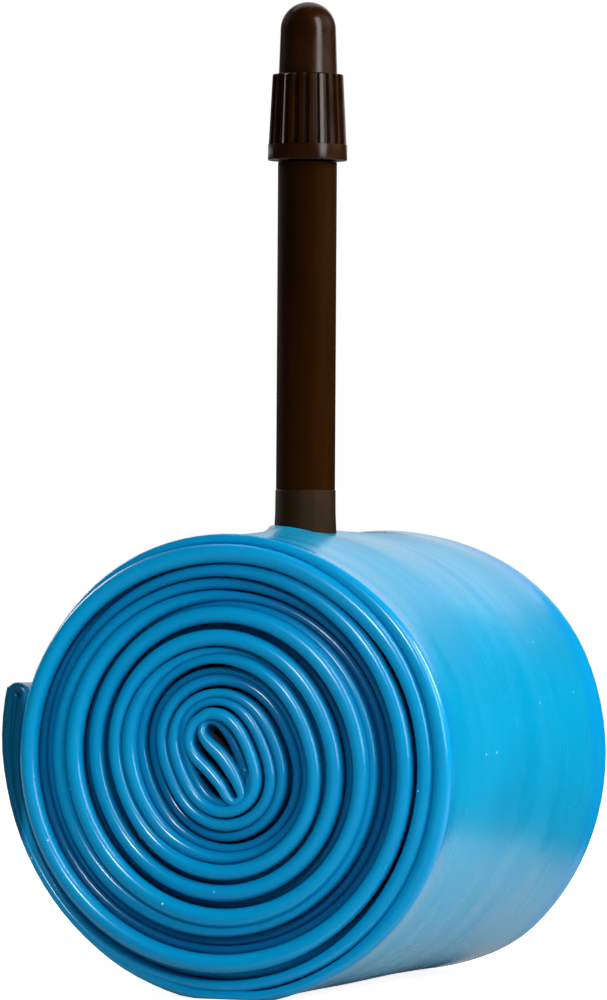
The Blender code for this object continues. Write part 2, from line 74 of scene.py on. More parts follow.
# The short strand's last whole turn lies out against the loose wrap at the upper right
BULGE = 0.45 * MM
BULGE_ANGLE = 68.0
BULGE_SPREAD = 30.0
BULGE_FROM = 7.0
BULGE_TURNS = 7

# The last wrap lies loose. It follows the outline of the solid part, down to the flat it rests on.
WRAP_HALF_LENGTH = 3.30 * MM
WRAP_ROUNDING = 2.50 * MM / 9
WRAP_RADIUS = 1.575 * MM
WRAP_PITCH = 2.338 * MM
WRAP_DRIFT = 0.60 * MM / 9
WRAP_FROM = 8.04
WRAP_WHOLE = 8.20
LOOSE_TAB = 0.95 * MM
LOOSE_SWEEP = 120.0
REST_FLAT = 6.0 * MM

# How deep the folded edges lie behind the front, at nine and three o'clock by turns from the core out
FIRST_READING = 0.067
SHORT_SETBACKS = [1.1, 0.9, 0.7, 1.9, 1.2, 0.3, 0.3, 0.2, 0.5, 0.0, 0.0, 2.4, 1.7, 0.0, 0.0, 0.1, 3.4]
LONG_SETBACKS = [
    0.5, 0.5, 0.6, 1.1, 1.8, 1.9, 0.2, 2.0, 2.2, 2.1, 2.2, 0.8, 0.6, 2.2, 1.9, 3.0, 3.2, 0.0, 3.4,
]
DEEPEST = 3.4 * MM

# How far the strands lie outside an even spiral, at the same places
SHORT_LEANS = [
    0.15, 0.0, -0.1, 0.15, -0.1, 0.1, 0.05, -0.1, -0.15, 0.35, -0.25, -0.1, 0.25, 0.2, -0.1, 0.0, 0.0,
]
LONG_LEANS = [
    0.35, -0.25, -0.15, 0.0, 0.0, 0.0, -0.2, -0.1, 0.1, -0.1, -0.05, 0.25, 0.3, -0.1, 0.1, 0.0, 0.35, -0.1,
    0.25,
]

# The start of the winding, drawn from the inner strand round the hairpin and its curl to the outer strand:
# across, up, how deep the edge lies and the radius of its bead
CORE_CURVE = [
    (-2.74, 3.53, 0.5, 0.52), (-3.25, 2.34, 0.5, 0.52), (-3.21, 1.22, 0.5, 0.52), (-2.54, 0.10, 0.5, 0.56),
    (-1.29, -1.09, 0.5, 0.58), (-0.02, -2.51, 0.5, 0.54), (0.76, -3.70, 0.5, 0.46), (1.51, -4.15, 0.6, 0.40),
    (2.18, -3.63, 0.6, 0.42), (1.87, -2.51, 0.6, 0.58), (1.00, -1.01, 0.6, 0.72), (-0.10, 0.40, 0.6, 0.72),
    (-1.29, 1.52, 0.6, 0.60), (-1.96, 2.41, 0.7, 0.46), (-1.96, 3.23, 0.9, 0.42), (-1.52, 3.79, 1.1, 0.42),
    (-0.80, 3.75, 1.3, 0.45), (-0.20, 3.30, 1.5, 0.50), (0.60, 2.20, 1.7, 0.55), (1.50, 0.48, 1.7, 0.55),
    (2.15, -1.30, 1.7, 0.55),
]
CORE_CURVE_SHIFT = -0.27
CORE_FROM_LONG = 100.0
CORE_FROM_SHORT = -156.0
CORE_STEPS = 5

# The bead of a fold is largest after a few turns, smallest where it lies deep, and tapers to the flat hose
BEAD_LARGE = 0.94 * MM
BEAD_CORE = 0.60 * MM
BEAD_SMALL = 0.58 * MM
BEAD_NECK = 2.2 * MM
BEAD_TURNS = 5
BEAD_SINK = 1.2 * MM
BEAD_GAP = 0.02 * MM
PROUD_SHARE = 0.4
ROUND_STEPS = 6
TAPER_STEPS = 4
FLAT_STEPS = 12

# The turn from which each strand is part of the loose wrap
LONG_LOOSE_FROM = 7.9
SHORT_LOOSE_FROM = 7.1
LOOSE_OVER = 0.3
WELD_DISTANCE = 0.0005 * MM


def ease(share):
    """Smooth step from 0 to 1."""
    share = np.clip(share, 0.0, 1.0)
    return share * share * (3 - 2 * share)


def heading(angle):
    """Unit vector at an angle in degrees, in the plane of the roll."""
    return np.array([math.cos(math.radians(angle)), math.sin(math.radians(angle))])


def wound(turn, half_length, radius):
    """Point of a spiral round a slim ellipse, at a winding angle and a distance out from it."""
    angle = math.radians(START_ANGLE - turn - AXIS_ANGLE)
    reach = math.hypot(half_length * math.cos(angle), CORE_HALF_WIDTH * math.sin(angle))
    slope = (CORE_HALF_WIDTH**2 - half_length**2) * math.sin(angle) * math.cos(angle) / reach
    outward = heading(START_ANGLE - turn)
    along = np.array([-outward[1], outward[0]])
    return outward * (radius + reach) + along * slope


def loose_wrap(turn):
    """Middle of the long strand on its last wrap, with a flat at the bottom where the roll rests."""
    wind = turn / TURN
    looseness = max(0.0, 1 - (LONG_END - turn) / LOOSE_SWEEP) ** 2
    half_length = WRAP_HALF_LENGTH - WRAP_ROUNDING * wind
    drift = np.array([WRAP_DRIFT * wind, 0.0])
    point = wound(turn, half_length, WRAP_RADIUS + WRAP_PITCH * wind + LOOSE_TAB * looseness) + drift
    rest_turn = 8 * TURN + START_ANGLE + 90.0
    if abs(turn - rest_turn) > 90.0:
        return point
    lowest = wound(rest_turn, half_length, WRAP_RADIUS + WRAP_PITCH * rest_turn / TURN) + drift
    half = REST_FLAT / 2
    aside = abs(point[0] - lowest[0])
    corner_drop = half**2 / (2 * abs(lowest[1]))
    point[1] -= corner_drop * max(0.0, 1 - (aside - half) / REST_FLAT)
    return np.array([point[0], max(point[1], lowest[1])])


def reading(values, turn):
    """Value at a winding angle, from a list that has one value for each half turn."""
    place = min(max((turn / TURN - FIRST_READING) * 2, 0.0), len(values) - 1.0)
    before = min(int(place), len(values) - 2)
    share = 0.5 - 0.5 * math.cos(math.pi * (place - before))
    return (values[before] * (1 - share) + values[before + 1] * share) * MM


def strand_middle(turn, long):
    """Middle of the long or the short strand at a winding angle."""
    wind = turn / TURN
    radius = TIGHT_RADIUS + TIGHT_PITCH * wind + (-0.5 if long else 0.5) * STRAND_PITCH
    middle = wound(turn, CORE_HALF_LENGTH - ROUNDING_OUT * wind, radius) + TIGHT_SHIFT + TIGHT_DRIFT * wind
    if not long and wind > BULGE_FROM:
        angle = START_ANGLE - turn + BULGE_TURNS * TURN - BULGE_ANGLE
        middle = middle + heading(START_ANGLE - turn) * BULGE * math.exp(-((angle / BULGE_SPREAD) ** 2))
    if long and wind > WRAP_FROM:
        share = ease((wind - WRAP_FROM) / (WRAP_WHOLE - WRAP_FROM))
        middle = middle * (1 - share) + loose_wrap(turn) * share
    return middle + heading(START_ANGLE - turn) * reading(LONG_LEANS if long else SHORT_LEANS, turn)


def setback(turn, long):
    """How far the strand's folded edge lies behind the front."""
    return reading(LONG_SETBACKS if long else SHORT_SETBACKS, turn)


def bead_radius(turn, depth, middle, neighbours):
    """Radius of a fold: it swells where it stands proud, as far as the strands beside it leave room."""
    largest = BEAD_CORE + (BEAD_LARGE - BEAD_CORE) * ease(turn / TURN / BEAD_TURNS)
    radius = largest + (BEAD_SMALL - largest) * ease(depth / BEAD_SINK)
    for other_middle, other_depth in neighbours:
        room = np.linalg.norm(other_middle - middle)
        share = 0.5 + PROUD_SHARE * min(1.0, max(0.0, (other_depth - depth) / MM))
        radius = min(radius, max(share * room - BEAD_GAP, FLAT_HALF))
    return radius


def strand_places(turns, long):
    """One entry for each winding angle: the middle, the setback, both beads' radii and the looseness."""
    places = []
    for turn in turns:
        middle = strand_middle(turn, long)
        depth = setback(turn, long)
        beside = [(turn, not long), (turn - TURN if long else turn + TURN, not long)]
        beside = [(t, kind) for t, kind in beside if 0.0 <= t <= (LONG_END if kind else SHORT_END)]
        front = [(strand_middle(t, kind), setback(t, kind)) for t, kind in beside]
        back = [(place, DEEPEST - far) for place, far in front]
        loose = ease((turn / TURN - (LONG_LOOSE_FROM if long else SHORT_LOOSE_FROM)) / LOOSE_OVER)
        places.append((middle, depth, bead_radius(turn, depth, middle, front),
                       bead_radius(turn, DEEPEST - depth, middle, back), loose))
    return places


def smooth_run(points, steps):
    """Points of a smooth curve through a list of points, from the second to the last but one."""
    run = []
    for before, start, end, after in zip(points, points[1:], points[2:], points[3:]):
        for step in range(steps):
            u = step / steps
            bend = 2 * before - 5 * start + 4 * end - after
            twist = 3 * start - before - 3 * end + after
            run.append(0.5 * (2 * start + (end - before) * u + bend * u**2 + twist * u**3))
    return run


def section_side(front_bead, back_bead):
    """One side of the flattened hose from its front fold to its back one, as (half thickness, place)."""
    side = []
    for bead, far in ((front_bead, False), (back_bead, True)):
        end = []
        for step in range(ROUND_STEPS + 1):
            angle = math.pi / 2 * step / ROUND_STEPS
            end.append((bead * math.sin(angle), bead * (1 - math.cos(angle))))
        for step in range(1, TAPER_STEPS + 1):
            swell = 0.5 + 0.5 * math.cos(math.pi * step / TAPER_STEPS)
            end.append((FLAT_HALF + (bead - FLAT_HALF) * swell, bead + BEAD_NECK * step / TAPER_STEPS))
        side.append([(half, FLAT_WIDTH - place) for half, place in reversed(end)] if far else end)
    first = side[0][-1][1]
    last = side[1][0][1]
    flat = [(FLAT_HALF, first + (last - first) * step / FLAT_STEPS) for step in range(1, FLAT_STEPS)]
    return side[0] + flat + side[1]


def skin(name, rings, closed):
    """Smooth mesh object over closed rings of equal length, with the row of rings closed too if asked."""
    count = len(rings[0])
    faces = []
    for place in range(len(rings) if closed else len(rings) - 1):
        here = place * count
        there = (place + 1) % len(rings) * count
        for corner in range(count):
            following = (corner + 1) % count
            faces.append((here + corner, there + corner, there + following, here + following))
    mesh = bpy.data.meshes.new(name)
    mesh.from_pydata(np.concatenate(rings).tolist(), [], faces)
    build = bmesh.new()
    build.from_mesh(mesh)
    bmesh.ops.remove_doubles(build, verts=build.verts, dist=WELD_DISTANCE)
    bmesh.ops.recalc_face_normals(build, faces=build.faces)
    build.to_mesh(mesh)
    build.free()
    mesh.shade_smooth()
    piece = bpy.data.objects.new(name, mesh)
    bpy.context.scene.collection.objects.link(piece)
    return piece


short_turns = list(np.arange(CORE_FROM_SHORT, SHORT_END - TURN_STEP / 2, TURN_STEP)) + [SHORT_END]
long_turns = list(np.arange(CORE_FROM_LONG, LONG_END - TURN_STEP / 2, TURN_STEP)) + [LONG_END]
short_places = strand_places(short_turns, False)
long_places = strand_places(long_turns, True)

core_run = [np.array([x + CORE_CURVE_SHIFT, z, depth, bead]) * MM for x, z, depth, bead in CORE_CURVE]
core_joins = (long_places[1], long_places[0], short_places[0], short_places[1])
core_ends = [np.append(place[0], place[1:3]) for place in core_joins]
core_places = []
for x, z, depth, bead in smooth_run(core_ends[:2] + core_run + core_ends[2:], CORE_STEPS):
    core_places.append((np.array([x, z]), depth, bead, bead, 0.0))

# Tab: the hairpin at nine o'clock in which the loose wrap turns back into the short strand
TAB_BEAD = 0.52 * MM
TAB_STEPS = 8
tab_start, tab_end = long_places[-1], short_places[-1]
tab_across = (tab_start[0] - tab_end[0]) / 2
tab_ahead = np.array([tab_across[1], -tab_across[0]])
tab_places = []
for step in range(1, TAB_STEPS):
    angle = math.pi * step / TAB_STEPS
    middle = (tab_start[0] + tab_end[0]) / 2 - tab_across * math.cos(angle) + tab_ahead * math.sin(angle)
    tab_places.append((middle, tab_end[1], TAB_BEAD, TAB_BEAD, 1.0))

# The loose wrap flares at its far end on the right and is drawn in at its front on the upper right. Away from
# the valve it sags, beside the valve it has a dent, and it is never quite even. Angles go round the roll from
# three o'clock.
FAR_FLARE = 1.65 * MM
FLARE_START = -85.0
FLARE_RISE = 38.0
FLARE_END = 81.0
FLARE_FALL = 59.0
FLARE_POWER = 1.5
FRONT_DRAW = 0.60 * MM
DRAW_ANGLE = 57.0
DRAW_SPREAD = 24.0
DRAW_REACH = 23.0 * MM
DRAW_POWER = 1.5
SADDLE_DEPTH = 0.46 * MM
SADDLE_ANGLE = 93.0
SADDLE_SPREAD = 29.0
SADDLE_REACH = 8.0 * MM
RIPPLE = 0.07 * MM
RIPPLE_LONG = 9.0 * MM
RIPPLE_SHORT = 6.0 * MM
ROLL_RADIUS = 22.0 * MM
DENT_DEPTH = 0.40 * MM
DENT_PLACE = (4.6 * MM, -1.5 * MM)
DENT_SIZE = 3.2 * MM
# Faint creases along the hose: place along the roll, depth, half width, middle round the roll and half run
CREASES = [
    (0.5, 0.16, 1.3, 66, 18),
    (11.0, 0.10, 2.0, 60, 25),
    (14.5, 0.20, 0.8, -8, 36),
    (16.5, 0.26, 1.0, 56, 40),
    (19.8, 0.24, 0.8, 52, 42),
]


def wrap_relief(angle, y):
    """How far the loose wrap stands out from an even one, at an angle in degrees and a place on the axis."""
    share = np.clip(y / FLAT_WIDTH + 0.5, 0.0, 1.0)
    around = ease((angle - FLARE_START) / FLARE_RISE) * ease((FLARE_END - angle) / FLARE_FALL)
    relief = FAR_FLARE * around * share**FLARE_POWER
    front = np.clip(-y / DRAW_REACH, 0.0, 1.0)
    drawn = np.exp(-(((angle - DRAW_ANGLE) / DRAW_SPREAD) ** 2))
    relief = relief - FRONT_DRAW * drawn * front**DRAW_POWER
    aside = np.exp(-(((angle - SADDLE_ANGLE) / SADDLE_SPREAD) ** 2))
    relief = relief - SADDLE_DEPTH * aside * (1 - np.exp(-((y / SADDLE_REACH) ** 2)))
    turn = np.radians(angle)
    relief = relief + RIPPLE * np.sin(3.0 * turn + y / RIPPLE_SHORT) * np.sin(y / RIPPLE_LONG + 1.0)
    x = ROLL_RADIUS * np.cos(turn)
    dent = np.exp(-(((x - DENT_PLACE[0]) / DENT_SIZE) ** 2) - ((y - DENT_PLACE[1]) / DENT_SIZE) ** 2)
    relief = relief - DENT_DEPTH * dent * (np.sin(turn) > 0.5)
    for along, depth, width, middle, run in CREASES:
        line = np.exp(-(((y - along * MM) / (width * MM)) ** 2))
        relief = relief - depth * MM * line * np.exp(-(((angle - middle) / run) ** 2))
    return relief


# The tight winding lies a little to the right in the middle of the roll, so no light comes through it
ROLL_SWAY = 0.55 * MM
SWAY_RUN = 18.0 * MM
film_path = long_places[::-1] + core_places[1:] + short_places + tab_places
film_rings = []
for place, (middle, depth, front_bead, back_bead, loose) in enumerate(film_path):
    ahead = film_path[(place + 1) % len(film_path)][0] - film_path[place - 1][0]
    across = np.array([-ahead[1], ahead[0]]) / np.linalg.norm(ahead)
    side = section_side(front_bead, back_bead)
    outline = np.array(side + [(-half, along) for half, along in side[-2:0:-1]])
    y = outline[:, 1] + depth - FLAT_WIDTH / 2
    outward = middle / np.linalg.norm(middle)
    bulge = loose * wrap_relief(math.degrees(math.atan2(middle[1], middle[0])), y)
    sway = ROLL_SWAY * (1 - loose) * ease((FLAT_WIDTH / 2 - np.abs(y)) / SWAY_RUN)
    x = middle[0] + across[0] * outline[:, 0] + outward[0] * bulge + sway + CORE_X
    z = middle[1] + across[1] * outline[:, 0] + outward[1] * bulge + CORE_Z
    film_rings.append(np.stack([x, y, np.maximum(z, 0.0)], axis=1))
tube_roll = skin("tube_roll", film_rings, True)


def linear(code):
    """An sRGB hex colour as the linear RGBA that shaders take."""
    channels = [value / 255 for value in bytes.fromhex(code)]
    return [c / 12.92 if c <= 0.04045 else ((c + 0.055) / 1.055) ** 2.4 for c in channels] + [1.0]


def add_node(tree, kind, inputs, **settings):
    """Node with its settings, and with a value or a link on each input named."""
    node = tree.nodes.new(kind)
    for name, value in settings.items():
        setattr(node, name, value)
    for name, value in inputs.items():
        if isinstance(value, bpy.types.NodeSocket):
            tree.links.new(value, node.inputs[name])
        else:
            node.inputs[name].default_value = value
    return node


def new_material(name):
    """Material with its node tree and its Principled shader."""
    material = bpy.data.materials.new(name)
    material.use_nodes = True
    return material, material.node_tree, material.node_tree.nodes["Principled BSDF"]


# Blown polyurethane film: a saturated blue, satin on the flats, shinier and bluer on the folds, with faint
# drawing lines round the hose, slightly paler patches where it is stretched, and specks of dust held on by
# static. Painted shade darkens the layers inside the roll near its ends, the core's hollow and the end faces
# of the tab, where the winding lies in shade.
film, tree, shader = new_material("polyurethane film, blown")
place = add_node(tree, "ShaderNodeTexCoord", {}).outputs["Object"]
PATCH_SIZE = 14 * MM
LINE_SPACING = 4.0 * MM
LINE_RUN = 1 / 35
DUST_SPACING = 3.0 * MM
DUST_SIZE = 0.035
DUST_LEFT_OUT = 0.55
patches = add_node(tree, "ShaderNodeTexNoise", {"Vector": place, "Scale": 1 / PATCH_SIZE, "Detail": 3.0})
line_scale = (1 / LINE_RUN, 1 / LINE_SPACING, 1 / LINE_RUN)
drawn = add_node(tree, "ShaderNodeMapping", {"Vector": place, "Scale": line_scale})
lines = add_node(tree, "ShaderNodeTexNoise", {"Vector": drawn.outputs[0], "Scale": 1.0, "Detail": 1.0})
tone = add_node(tree, "ShaderNodeValToRGB", {"Fac": patches.outputs["Fac"]})
tone.color_ramp.elements[0].position = 0.30
tone.color_ramp.elements[0].color = linear("0095C3")
tone.color_ramp.elements[1].position = 0.70
tone.color_ramp.elements[1].color = linear("00A0CF")
dust = add_node(tree, "ShaderNodeTexVoronoi", {"Vector": place, "Scale": 1 / DUST_SPACING})
speck = add_node(tree, "ShaderNodeMath", {0: dust.outputs["Distance"], 1: DUST_SIZE}, operation="LESS_THAN")
thin = add_node(tree, "ShaderNodeSeparateColor", {"Color": dust.outputs["Color"]})
some = add_node(tree, "ShaderNodeMath", {0: thin.outputs["Red"], 1: DUST_LEFT_OUT}, operation="GREATER_THAN")
dusty = add_node(tree, "ShaderNodeMath", {0: speck.outputs[0], 1: some.outputs[0]}, operation="MULTIPLY")
FOLD_FROM = 19.5 * MM
FOLD_WHOLE = 21.5 * MM
FOLD_BLUE = 0.28
along = add_node(tree, "ShaderNodeSeparateXYZ", {"Vector": place})
inward = add_node(tree, "ShaderNodeMath", {0: along.outputs["Y"]}, operation="ABSOLUTE")
fold = add_node(
    tree, "ShaderNodeMapRange", {"Value": inward.outputs[0], "From Min": FOLD_FROM, "From Max": FOLD_WHOLE},
)
bluer = add_node(tree, "ShaderNodeMath", {0: fold.outputs[0], 1: FOLD_BLUE}, operation="MULTIPLY")
folded = add_node(
    tree, "ShaderNodeMix",
    {"Factor": bluer.outputs[0], "A": tone.outputs["Color"], "B": linear("008AE4")}, data_type="RGBA",
)
# Painted shade: the tab's end faces, where they face along the axis, are mixed towards a dark blue for the
# shade they lie in.
TAB_FROM = -21.7 * MM
TAB_WHOLE = -22.3 * MM
END_FACE_FROM = 0.15
END_FACE_WHOLE = 0.5
tab_side = add_node(
    tree, "ShaderNodeMapRange",
    {"Value": along.outputs["X"], "From Min": TAB_WHOLE, "From Max": TAB_FROM, "To Min": 1.0, "To Max": 0.0},
)
normal = add_node(tree, "ShaderNodeNewGeometry", {}).outputs["Normal"]
end_on = add_node(tree, "ShaderNodeSeparateXYZ", {"Vector": normal})
end_face = add_node(tree, "ShaderNodeMath", {0: end_on.outputs["Y"]}, operation="ABSOLUTE")
end_share = add_node(
    tree, "ShaderNodeMapRange",
    {"Value": end_face.outputs[0], "From Min": END_FACE_FROM, "From Max": END_FACE_WHOLE},
)
tab_shade = add_node(
    tree, "ShaderNodeMath", {0: end_share.outputs[0], 1: tab_side.outputs[0]}, operation="MULTIPLY",
)
tab_shaded = add_node(
    tree, "ShaderNodeMix",
    {"Factor": tab_shade.outputs[0], "A": folded.outputs[2], "B": linear("00587C")}, data_type="RGBA",
)
dusted = add_node(
    tree, "ShaderNodeMix",
    {"Factor": dusty.outputs[0], "A": tab_shaded.outputs[2], "B": linear("BFE3F5")}, data_type="RGBA",
)
# Painted shade: inside the outer wrap, the film near both ends is mixed towards a deep blue for the shade in
# the recesses.
ROLL_INSIDE = 20.4 * MM
INSIDE_BLEND = 0.5 * MM
INSIDE_SHADE = 0.85
FRONT_LEVEL = 24.3 * MM
SHADE_LEVEL = 22.2 * MM
centred = add_node(tree, "ShaderNodeVectorMath", {0: place, 1: (CORE_X, 0.0, CORE_Z)}, operation="SUBTRACT")
flat = add_node(
    tree, "ShaderNodeVectorMath", {0: centred.outputs[0], 1: (1.0, 0.0, 1.0)}, operation="MULTIPLY",
)
out = add_node(tree, "ShaderNodeVectorMath", {0: flat.outputs[0]}, operation="LENGTH")
inside = add_node(
    tree, "ShaderNodeMapRange",
    {"Value": out.outputs["Value"], "From Min": ROLL_INSIDE - INSIDE_BLEND, "From Max": ROLL_INSIDE,
     "To Min": INSIDE_SHADE, "To Max": 0.0},
)
sunk = add_node(
    tree, "ShaderNodeMapRange",
    {"Value": inward.outputs[0], "From Min": SHADE_LEVEL, "From Max": FRONT_LEVEL,
     "To Min": 1.0, "To Max": 0.0},
)
recess_shade = add_node(tree, "ShaderNodeMath", {0: inside.outputs[0], 1: sunk.outputs[0]}, operation="MULTIPLY")
recess_shaded = add_node(
    tree, "ShaderNodeMix",
    {"Factor": recess_shade.outputs[0], "A": dusted.outputs[2], "B": linear("004E88")}, data_type="RGBA",
)
# Painted shade: deep in the core's hollow the film is mixed towards a dark brown for the shade there.
CORE_SHADE_RADIUS = 3.4 * MM
CORE_SHADE_BLEND = 0.5 * MM
CORE_SHADE_LEVEL = 22.3 * MM
CORE_SHADE_RUN = 1.0 * MM
near = add_node(
    tree, "ShaderNodeMapRange",
    {"Value": out.outputs["Value"], "From Min": CORE_SHADE_RADIUS - CORE_SHADE_BLEND,
     "From Max": CORE_SHADE_RADIUS, "To Min": 1.0, "To Max": 0.0},
)
deep = add_node(
    tree, "ShaderNodeMapRange",
    {"Value": inward.outputs[0], "From Min": CORE_SHADE_LEVEL - CORE_SHADE_RUN,
     "From Max": CORE_SHADE_LEVEL, "To Min": 1.0, "To Max": 0.0},
)
shade = add_node(tree, "ShaderNodeMath", {0: near.outputs[0], 1: deep.outputs[0]}, operation="MULTIPLY")
colour = add_node(
    tree, "ShaderNodeMix",
    {"Factor": shade.outputs[0], "A": recess_shaded.outputs[2], "B": linear("6B3B0A")}, data_type="RGBA",
)
FLAT_ROUGHNESS = 0.26
FOLD_ROUGHNESS = 0.19
satin = add_node(
    tree, "ShaderNodeMapRange",
    {"Value": inward.outputs[0], "From Min": FOLD_FROM, "From Max": FOLD_WHOLE,
     "To Min": FLAT_ROUGHNESS, "To Max": FOLD_ROUGHNESS},
)
streaks = add_node(
    tree, "ShaderNodeMapRange",
    {"Value": lines.outputs["Fac"], "From Min": 0.3, "From Max": 0.7, "To Min": -0.05, "To Max": 0.07},
)
gloss = add_node(tree, "ShaderNodeMath", {0: satin.outputs[0], 1: streaks.outputs[0]}, operation="ADD")
bump = add_node(
    tree, "ShaderNodeBump", {"Height": lines.outputs["Fac"], "Strength": 0.12, "Distance": 0.15 * MM},
)
tree.links.new(colour.outputs[2], shader.inputs["Base Color"])
tree.links.new(gloss.outputs[0], shader.inputs["Roughness"])
tree.links.new(bump.outputs["Normal"], shader.inputs["Normal"])
shader.inputs["Specular IOR Level"].default_value = 0.45
tube_roll.data.materials.append(film)
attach(tube_roll, "tube")
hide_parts("tube_film")

# Neck of film round the valve
# Where the socket is welded in, the hose is drawn up round it into a small flared neck that stands higher
# on the left, and runs out smoothly on the wrap.
NECK_BORE = 3.20 * MM
NECK_LIP = 0.32 * MM
NECK_REACH = 4.9 * MM
NECK_HEIGHT = 0.20 * MM
NECK_TILT = 0.38 * MM
NECK_INSIDE = 1.2 * MM
NECK_EDGE_DROP = 0.1 * MM
NECK_EDGE_OUT = 0.08 * MM
NECK_FALL = 3.2
NECK_SINK = 0.03 * MM
NECK_THICKNESS = 0.25 * MM
NECK_SIDES = 96
NECK_ROWS = 14

TOP_FROM = 130.0
TOP_TO = 50.0
TOP_STEP = 2.0
top_turns = np.arange(8 * TURN + START_ANGLE - TOP_FROM, 8 * TURN + START_ANGLE - TOP_TO, TOP_STEP)
top_line = np.array([
    strand_middle(turn, True) + heading(START_ANGLE - turn) * FLAT_HALF for turn in top_turns
])


def film_height(x, y):
    """Height of the wrap's outside above the floor, near the valve."""
    level = np.interp(x - CORE_X, top_line[:, 0], top_line[:, 1])
    return level + CORE_Z + wrap_relief(np.degrees(np.arctan2(level, x - CORE_X)), y)


neck_rings = []
spokes = np.linspace(0.0, 2 * math.pi, NECK_SIDES, endpoint=False)
rim = NECK_HEIGHT - NECK_TILT * np.cos(spokes)
neck_edge = ((NECK_BORE, -NECK_INSIDE), (NECK_BORE, -NECK_EDGE_DROP), (NECK_BORE + NECK_EDGE_OUT, 0.0))
for radius, lift in neck_edge:
    level = film_height(radius * np.cos(spokes), radius * np.sin(spokes)) + rim + lift
    neck_rings.append(np.stack([radius * np.cos(spokes), radius * np.sin(spokes), level], axis=1))
for row in range(NECK_ROWS + 1):
    share = row / NECK_ROWS
    radius = NECK_BORE + NECK_LIP + (NECK_REACH - NECK_BORE - NECK_LIP) * share
    fall = (1 - share) ** NECK_FALL
    level = film_height(radius * np.cos(spokes), radius * np.sin(spokes)) + rim * fall - NECK_SINK * share
    neck_rings.append(np.stack([radius * np.cos(spokes), radius * np.sin(spokes), level], axis=1))
under = neck_rings[-1] - np.array([0.0, 0.0, NECK_THICKNESS])
neck_rings.append(under)
valve_neck = skin("valve_neck", neck_rings, True)
valve_neck.data.materials.append(film)
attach(valve_neck, "tube")
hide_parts("valve_collar")

# Sleeve at the valve's root
# A short soft sleeve moulded on the film's socket, greyer and duller than the stem. The stem's plug is
# pushed into it, which leaves a fine line between them.
SLEEVE_SIDES = 96
SLEEVE_EDGE = 0.08 * MM
SLEEVE_ROOT = 0.8 * MM
SLEEVE_TAPER = 0.14 * MM
SLEEVE_FLARE = 0.12 * MM
SLEEVE_FLARE_HEIGHT = 2.4 * MM
PLUG_STEP = 0.68 * MM


def filleted(corners, radius, steps=4):
    """Profile with its inner corners rounded off."""
    line = [np.array(corner) for corner in corners]
    rounded = [line[0]]
    for before, corner, after in zip(line, line[1:], line[2:]):
        back = before - corner
        onward = after - corner
        reach = min(radius, 0.45 * np.linalg.norm(back), 0.45 * np.linalg.norm(onward))
        start = corner + back / np.linalg.norm(back) * reach
        end = corner + onward / np.linalg.norm(onward) * reach
        for step in range(steps + 1):
            u = step / steps
            rounded.append(start * (1 - u) ** 2 + corner * 2 * u * (1 - u) + end * u**2)
    return rounded + [line[-1]]


def turned_rings(profile, sides):
    """Rings of a turned piece from (radius, height) corners."""
    around = np.linspace(0.0, 2 * math.pi, sides, endpoint=False)
    rings = []
    for radius, height in profile:
        level = np.full(sides, height)
        rings.append(np.stack([radius * np.cos(around), radius * np.sin(around), level], axis=1))
    return rings


socket_low, socket_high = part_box("base_socket")
stem_low, stem_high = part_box("valve_stem")
stem_radius = stem_high[0]
sleeve_foot = socket_low[2] - SLEEVE_ROOT
sleeve_top = socket_high[2]
sleeve_radius = socket_high[0]
sleeve_bore = stem_radius - PLUG_STEP
sleeve_profile = filleted([
    (sleeve_bore, sleeve_foot), (sleeve_bore, sleeve_top), (sleeve_radius - SLEEVE_TAPER, sleeve_top),
    (sleeve_radius - SLEEVE_FLARE, sleeve_foot + SLEEVE_FLARE_HEIGHT), (sleeve_radius, sleeve_foot),
    (sleeve_bore, sleeve_foot),
], SLEEVE_EDGE)
root_sleeve = skin("root_sleeve", turned_rings(sleeve_profile, SLEEVE_SIDES), False)

# Soft moulded sleeve: matte, with a fine grain from the mould and a dusty grey cast.
sleeve, tree, shader = new_material("thermoplastic rubber, moulded")
place = add_node(tree, "ShaderNodeTexCoord", {}).outputs["Object"]
GRAIN_SIZE = 0.25 * MM
GRAIN_DEPTH = 0.03 * MM
CAST_SIZE = 3 * MM
grain = add_node(tree, "ShaderNodeTexNoise", {"Vector": place, "Scale": 1 / GRAIN_SIZE, "Detail": 3.0})
cast = add_node(tree, "ShaderNodeTexNoise", {"Vector": place, "Scale": 1 / CAST_SIZE, "Detail": 2.0})
tone = add_node(tree, "ShaderNodeValToRGB", {"Fac": cast.outputs["Fac"]})
tone.color_ramp.elements[0].position = 0.30
tone.color_ramp.elements[0].color = linear("221406")
tone.color_ramp.elements[1].position = 0.75
tone.color_ramp.elements[1].color = linear("291A0C")
bump = add_node(
    tree, "ShaderNodeBump", {"Height": grain.outputs["Fac"], "Strength": 0.3, "Distance": GRAIN_DEPTH},
)
tree.links.new(tone.outputs["Color"], shader.inputs["Base Color"])
tree.links.new(bump.outputs["Normal"], shader.inputs["Normal"])
shader.inputs["Roughness"].default_value = 0.50
shader.inputs["Specular IOR Level"].default_value = 0.20
shader.inputs["Specular Tint"].default_value = linear("DCC4A8")
root_sleeve.data.materials.append(sleeve)
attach(root_sleeve, "tube")
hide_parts("base_socket")

